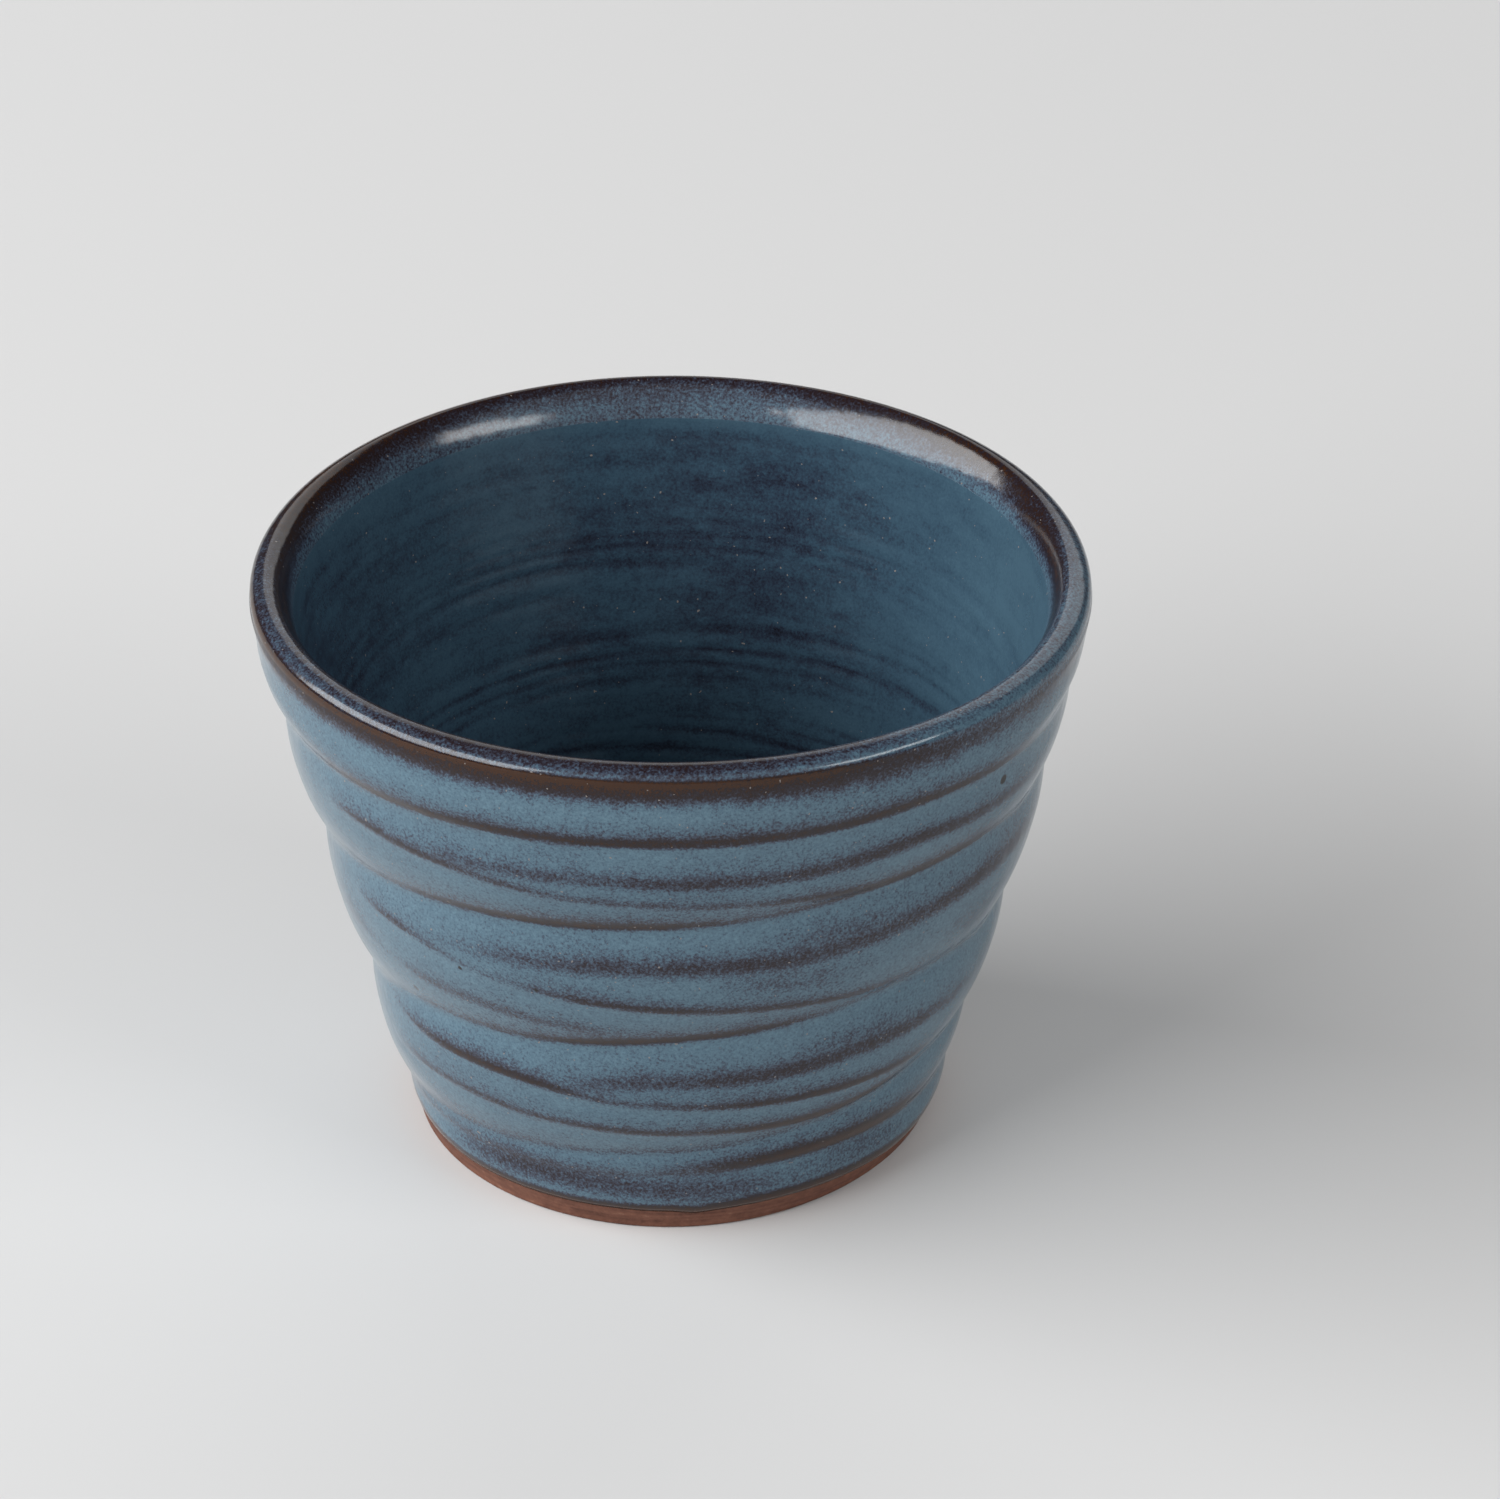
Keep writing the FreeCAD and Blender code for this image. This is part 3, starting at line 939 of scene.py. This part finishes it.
def blue_glaze(name, shade, grain_share, streak_share, pits=False):
    """Glossy blue glaze that breaks in grains to purple, brown and amber as it gets thinner.

    The piece's thin value picks the colour, shaken by a sandy grain, by clumps, by drifts the
    size of a fingertip and by level streaks. Shade darkens the whole, colour by colour: where it is
    less than white it is painted shade, standing for the dim inside of the mug; a few pinholes
    are pale.
    """
    nodes = Nodes(name)
    where = nodes.place()
    grain = nodes.noise(where, GRAIN_SIZE, detail=3.0, roughness=0.7)
    clump = nodes.noise(where, CLUMP_SIZE, detail=2.0, roughness=0.6)
    drift = nodes.noise(nodes.place((1.0, 1.0, DRIFT_FLATNESS)), DRIFT_SIZE, detail=2.0)
    level = nodes.place((1.0, 1.0, STREAK_FLATNESS))
    streak = nodes.noise(level, STREAK_SIZE, detail=5.0, roughness=0.62)
    value = nodes.add("ShaderNodeAttribute", attribute_name="thin").outputs["Fac"]
    value = shaken(nodes, value, grain, GRAIN_SHAKE * grain_share)
    value = shaken(nodes, value, clump, CLUMP_SHAKE)
    value = shaken(nodes, value, drift, DRIFT_SHAKE)
    value = shaken(nodes, value, streak, streak_share, clamp=True)
    shaded = [(stop, tuple(np.multiply(shade, colour))) for stop, colour in GLAZE_COLOURS]
    colour = pinholed(nodes, where, nodes.ramp(value, shaded))
    if pits:
        colour = pitted(nodes, colour)
    roughness = nodes.math("MULTIPLY_ADD", clump, CLUMP_ROUGHNESS, GLOSS_ROUGHNESS)
    swell = nodes.noise(where, 2.6, detail=1.0)
    skin = nodes.bump(swell, strength=0.35, distance_mm=0.16)
    skin = nodes.bump(grain, strength=0.12, distance_mm=0.04, below=skin)
    nodes.put(nodes.shader.inputs["Base Color"], colour)
    nodes.put(nodes.shader.inputs["Roughness"], roughness)
    nodes.put(nodes.shader.inputs["Normal"], skin)
    nodes.shader.inputs["IOR"].default_value = GLAZE_IOR
    return nodes.material


CLAY_LIGHT = (0.185, 0.078, 0.050)
CLAY_DARK = (0.090, 0.034, 0.022)
CLAY_SPECK = (0.34, 0.22, 0.15)
CLAY_COLOURS = ((0.35, CLAY_DARK), (0.62, CLAY_LIGHT), (0.80, CLAY_SPECK))
TURNING_SHARE = 0.4
MOTTLE_SHARE = 0.6


def bare_clay(name):
    """Matte fired red clay: turning lines, mottling and a few pale grains of grit."""
    nodes = Nodes(name)
    where = nodes.place()
    lines = nodes.noise(nodes.place((0.12, 0.12, 3.0)), 1.6, detail=2.0)
    mottle = nodes.noise(where, 1.1, detail=4.0, roughness=0.7)
    turned = nodes.math("MULTIPLY", lines, TURNING_SHARE)
    mottled = nodes.math("MULTIPLY", mottle, MOTTLE_SHARE)
    colour = nodes.ramp(nodes.math("ADD", turned, mottled), CLAY_COLOURS)
    nodes.put(nodes.shader.inputs["Base Color"], colour)
    nodes.shader.inputs["Roughness"].default_value = 0.78
    nodes.shader.inputs["Specular IOR Level"].default_value = 0.3
    grit = nodes.noise(where, 0.35, detail=3.0, roughness=0.7)
    rough = nodes.bump(grit, strength=0.5, distance_mm=0.08)
    rough = nodes.bump(lines, strength=0.3, distance_mm=0.12, below=rough)
    nodes.put(nodes.shader.inputs["Normal"], rough)
    return nodes.material


# ---------------------------------------------------------------- surroundings

WHITE = (1.0, 1.0, 1.0)
TABLE_REACH_M = 4.0
TABLE_GREY = (0.645, 0.645, 0.645)


def table_top():
    """A plain pale table top, far wider than the view."""
    corners = np.array([(-1, -1, 0), (1, -1, 0), (1, 1, 0), (-1, 1, 0)], float) * TABLE_REACH_M
    mesh = bpy.data.meshes.new("table_top")
    mesh.from_pydata(corners.tolist(), [], [(0, 1, 2, 3)])
    piece = bpy.data.objects.new("table_top", mesh)
    bpy.context.scene.collection.objects.link(piece)
    nodes = Nodes("pale_table")
    nodes.shader.inputs["Base Color"].default_value = (*TABLE_GREY, 1.0)
    nodes.shader.inputs["Roughness"].default_value = 0.85
    nodes.shader.inputs["Specular IOR Level"].default_value = 0.15
    mesh.materials.append(nodes.material)


LAMP_DISTANCE_M = 2.2
LAMP_AIM_M = (0.0, 0.0, 0.04)


def soft_box(name, side, elevation, size, power):
    """A rectangular lamp, turned to one side of the front and raised, facing the mug."""
    swing, lift = math.radians(side), math.radians(elevation)
    light = bpy.data.lights.new(name, "AREA")
    light.shape = "RECTANGLE"
    light.size, light.size_y = size
    light.energy = power
    light.color = WHITE
    lamp = bpy.data.objects.new(name, light)
    level = math.cos(lift)
    away = np.array([math.sin(swing) * level, -math.cos(swing) * level, math.sin(lift)])
    lamp.location = np.array(LAMP_AIM_M) + away * LAMP_DISTANCE_M
    lamp.rotation_euler = (math.pi / 2.0 - lift, 0.0, swing)
    bpy.context.scene.collection.objects.link(lamp)


def sky(strength):
    """Even soft light from all round."""
    world = bpy.data.worlds.new("studio")
    world.use_nodes = True
    background = world.node_tree.nodes["Background"]
    background.inputs["Color"].default_value = (*WHITE, 1.0)
    background.inputs["Strength"].default_value = strength
    bpy.context.scene.world = world


CAMERA_PLACE_M = (0.00938, -0.67062, 0.45480)
CAMERA_DIP = 0.545
CAMERA_ROLL = 0.00195
CAMERA_LENS = 156.0
CAMERA_SENSOR = 36.0


def camera():
    """A long lens looking down on the mug's front from a little to its right."""
    data = bpy.data.cameras.new("camera")
    data.sensor_width = CAMERA_SENSOR
    data.lens = CAMERA_LENS
    eye = bpy.data.objects.new("camera", data)
    eye.location = CAMERA_PLACE_M
    eye.rotation_mode = "ZYX"
    eye.rotation_euler = (math.pi / 2.0 - CAMERA_DIP, 0.0, CAMERA_ROLL)
    bpy.context.scene.collection.objects.link(eye)
    bpy.context.scene.camera = eye


# ---------------------------------------------------------------- the scene

camera()
table_top()
sky(0.08)
soft_box("window_left", side=-76.0, elevation=31.0, size=(3.0, 1.2), power=84.0)
soft_box("window_right", side=60.0, elevation=32.0, size=(1.2, 0.45), power=13.5)
soft_box("room_front", side=5.0, elevation=35.0, size=(5.0, 2.8), power=22.0)
soft_box("window_back", side=170.0, elevation=35.0, size=(2.2, 1.3), power=11.5)
bpy.context.scene.view_settings.view_transform = "Standard"

dipped_blue = blue_glaze("dipped_blue_glaze", WHITE, grain_share=1.0, streak_share=0.1, pits=True)
# The poured coat's glaze is darkened by painted shade
poured_blue = blue_glaze("poured_blue_glaze_painted_shade", POURED_PAINTED_SHADE, grain_share=0.5, streak_share=0.42)
red_clay = bare_clay("fired_red_clay")

pieces = (
    (outside_coat(), dipped_blue, "outside_glaze", "outside_glaze"),
    (inside_coat(), poured_blue, "inside_glaze", "inside_glaze"),
    (clay_body(), red_clay, "clay_body", "bare_clay"),
)
for piece, material, node, slot in pieces:
    piece.data.materials.append(material)
    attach(piece, "root")
    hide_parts(node)
